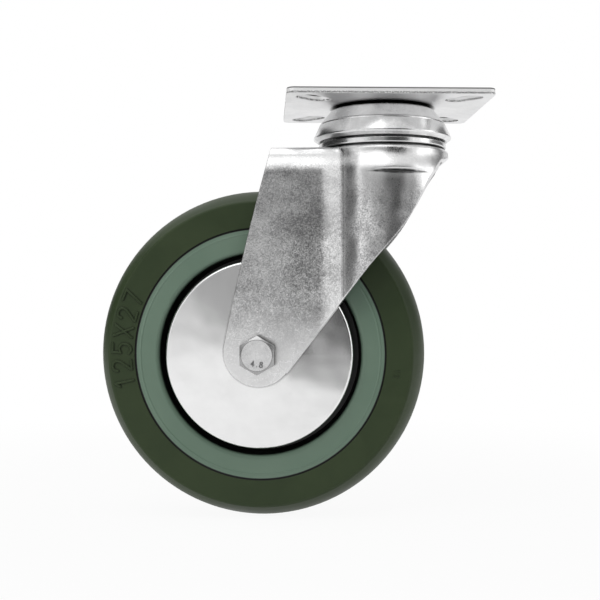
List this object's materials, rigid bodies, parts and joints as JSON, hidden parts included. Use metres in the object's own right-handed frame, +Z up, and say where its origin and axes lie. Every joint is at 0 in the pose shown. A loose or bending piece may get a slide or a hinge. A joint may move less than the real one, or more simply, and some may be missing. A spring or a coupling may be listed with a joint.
{
  "type": "swivel plate castor",
  "caption": "Swivel castor with a slotted top plate, ball-bearing head, pressed steel fork and a rubber-tyred wheel on a ball-bearing hub.",
  "frame": {"origin": "middle of the plate's top face, on the swivel axis", "axes": "+Z up out of the plate's top face, X along the plate's long side with the wheel trailing towards -X, Y nearly along the axle"},
  "size_m": [0.1495, 0.0706, 0.1629],
  "materials": {
    "plate_zinc": "bright zinc plated sheet steel",
    "head_zinc": "bright zinc plated pressing, smooth",
    "fork_zinc": "zinc plated sheet steel, fine mottled grain",
    "guard_zinc": "bright zinc plated disc",
    "fastener_zinc": "zinc plated steel",
    "bearing_steel": "ground bearing steel",
    "cage_brass": "turned cage",
    "tyre_rubber": "grey-green moulded rubber, semi-matt",
    "centre_plastic": "grey-green moulded polypropylene, semi-matt"
  },
  "bodies": {
    "root": {"top_plate": "plate_zinc", "upper_cup": "head_zinc", "kingpin": "fastener_zinc", "lower_cup": "head_zinc"},
    "upper_ball_ring": {"upper_balls": "bearing_steel"},
    "lower_ball_ring": {"lower_balls": "bearing_steel"},
    "fork": {"fork": "fork_zinc", "race_ring": "head_zinc", "axle_bolt": "fastener_zinc", "axle_nut": "fastener_zinc", "axle_washer": "fastener_zinc", "axle_sleeve": "fastener_zinc", "guard_near": "guard_zinc", "guard_far": "guard_zinc", "side_spacer_near": "fastener_zinc", "side_spacer_far": "fastener_zinc", "bearing_spacer": "fastener_zinc", "inner_ring_near": "bearing_steel", "inner_ring_far": "bearing_steel"},
    "near_cage": {"bearing_balls_near": "bearing_steel", "cage_near": "cage_brass"},
    "far_cage": {"bearing_balls_far": "bearing_steel", "cage_far": "cage_brass"},
    "wheel": {"tyre": "tyre_rubber", "wheel_centre": "centre_plastic", "outer_ring_near": "bearing_steel", "outer_ring_far": "bearing_steel"}
  },
  "joints": [
    {"name": "swivel", "type": "hinge", "parent": "root", "child": "fork", "pos_m": [0, 0, -0.02], "axis": [0, 0, 1], "continuous": true},
    {"name": "upper_roll", "type": "hinge", "parent": "root", "child": "upper_ball_ring", "pos_m": [0, 0, -0.00758], "axis": [0, 0, 1], "continuous": true},
    {"name": "lower_roll", "type": "hinge", "parent": "root", "child": "lower_ball_ring", "pos_m": [0, 0, -0.02378], "axis": [0, 0, 1], "continuous": true},
    {"name": "wheel_spin", "type": "hinge", "parent": "fork", "child": "wheel", "pos_m": [-0.0472, 0.0043, -0.0989], "axis": [0.0906, 0.9959, 0], "continuous": true},
    {"name": "near_roll", "type": "hinge", "parent": "fork", "child": "near_cage", "pos_m": [-0.0472, 0.0043, -0.0989], "axis": [0.0906, 0.9959, 0], "continuous": true},
    {"name": "far_roll", "type": "hinge", "parent": "fork", "child": "far_cage", "pos_m": [-0.0472, 0.0043, -0.0989], "axis": [0.0906, 0.9959, 0], "continuous": true}
  ],
  "couplings": [
    {"joint": "upper_roll", "follows": "swivel", "ratio": 0.5},
    {"joint": "lower_roll", "follows": "swivel", "ratio": 0.5},
    {"joint": "near_roll", "follows": "wheel_spin", "ratio": 0.619},
    {"joint": "far_roll", "follows": "wheel_spin", "ratio": 0.619}
  ]
}
